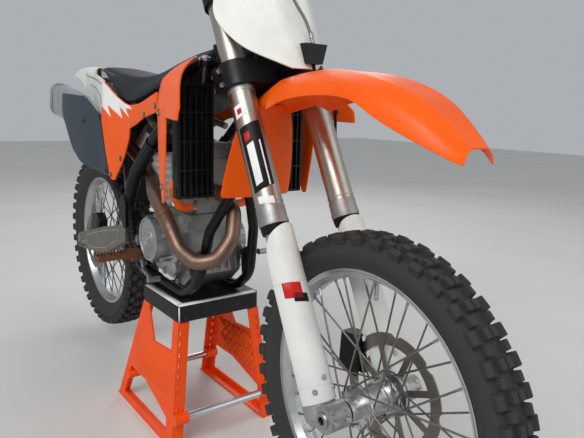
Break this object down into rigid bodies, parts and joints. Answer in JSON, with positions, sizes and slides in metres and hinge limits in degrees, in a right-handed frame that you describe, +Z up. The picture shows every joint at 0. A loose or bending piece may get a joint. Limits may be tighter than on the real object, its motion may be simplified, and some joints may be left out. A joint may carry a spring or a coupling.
{
  "type": "motocross bike",
  "caption": "Motocross bike with knobbed tyres, spoked wheels and an open single-cylinder engine, standing on its paddock stand.",
  "frame": {"origin": "on the floor, at the middle of the whole object's length and width", "axes": "+X forward, +Y to the bike's left, +Z up from the floor"},
  "size_m": [2.164, 0.8184, 1.326],
  "materials": {
    "orange_plastic": "moulded orange plastic with a soft gloss",
    "white_plastic": "moulded white plastic",
    "dark_plastic": "moulded black plastic",
    "seat_cover": "bluish black grained cover",
    "tyre_rubber": "dull black tyre rubber",
    "grip_rubber": "soft black rubber",
    "frame_paint": "gloss black paint on steel tube",
    "cast_alloy": "cast alloy, olive grey",
    "bright_alloy": "polished alloy",
    "black_alloy": "black anodised alloy",
    "engine_alloy": "cast engine alloy, dusty grey",
    "fork_alloy": "champagne anodised tube",
    "hard_chrome": "ground and chromed",
    "steel": "plain steel",
    "pipe_steel": "heat-tinted, rusty brown",
    "spring_paint": "white coil paint",
    "stand_plastic": "red-orange moulded plastic",
    "orange_rubber": "orange silicone rubber"
  },
  "bodies": {
    "chassis": {"airbox": "dark_plastic", "chain": "steel", "chain_guide": "dark_plastic", "clutch_cover": "engine_alloy", "coolant_hoses": "orange_rubber", "crankcase": "engine_alloy", "cylinder": "engine_alloy", "foot_levers": "steel", "footpegs": "pipe_steel", "frame": "frame_paint", "frame_guards": "dark_plastic", "fuel_tank": "dark_plastic", "header_pipe": "pipe_steel", "radiator_guards": "dark_plastic", "radiators": "black_alloy", "rear_axle": "steel", "rear_caliper": "black_alloy", "rear_fender": "white_plastic", "seat": "seat_cover", "shock_absorber": "bright_alloy", "shock_spring": "spring_paint", "shrouds": "orange_plastic", "side_panels": "orange_plastic", "side_plates": "dark_plastic", "silencer": "bright_alloy", "stand_sides": "stand_plastic", "stand_top": "dark_plastic", "stand_tubes": "bright_alloy", "subframe": "cast_alloy", "swingarm": "cast_alloy"},
    "steering": {"lower_clamp": "black_alloy", "upper_clamp": "black_alloy", "fork_outers": "fork_alloy", "fork_sliders": "hard_chrome", "fork_guards": "white_plastic", "front_caliper": "black_alloy", "front_fender": "orange_plastic", "front_plate": "white_plastic", "handlebar": "black_alloy", "grips": "grip_rubber", "bar_controls": "black_alloy", "brake_hose": "grip_rubber", "hose_guide": "dark_plastic", "front_axle": "steel"},
    "front_wheel": {"front_tyre": "tyre_rubber", "front_rim": "bright_alloy", "front_spokes": "hard_chrome", "front_hub": "bright_alloy", "front_disc": "steel"},
    "rear_wheel": {"rear_tyre": "tyre_rubber", "rear_rim": "bright_alloy", "rear_spokes": "hard_chrome", "rear_hub": "bright_alloy", "rear_disc": "steel", "rear_sprocket": "steel"}
  },
  "joints": [
    {"name": "steering_turn", "type": "hinge", "parent": "chassis", "child": "steering", "pos_m": [0.684, 0, 0.3306], "axis": [-0.4462, 0, 0.8949], "range_deg": [-42, 42]},
    {"name": "front_wheel_spin", "type": "hinge", "parent": "steering", "child": "front_wheel", "pos_m": [0.735, 0, 0.356], "axis": [0, 1, 0], "continuous": true},
    {"name": "rear_wheel_spin", "type": "hinge", "parent": "chassis", "child": "rear_wheel", "pos_m": [-0.745, 0, 0.398], "axis": [0, 1, 0], "continuous": true}
  ]
}
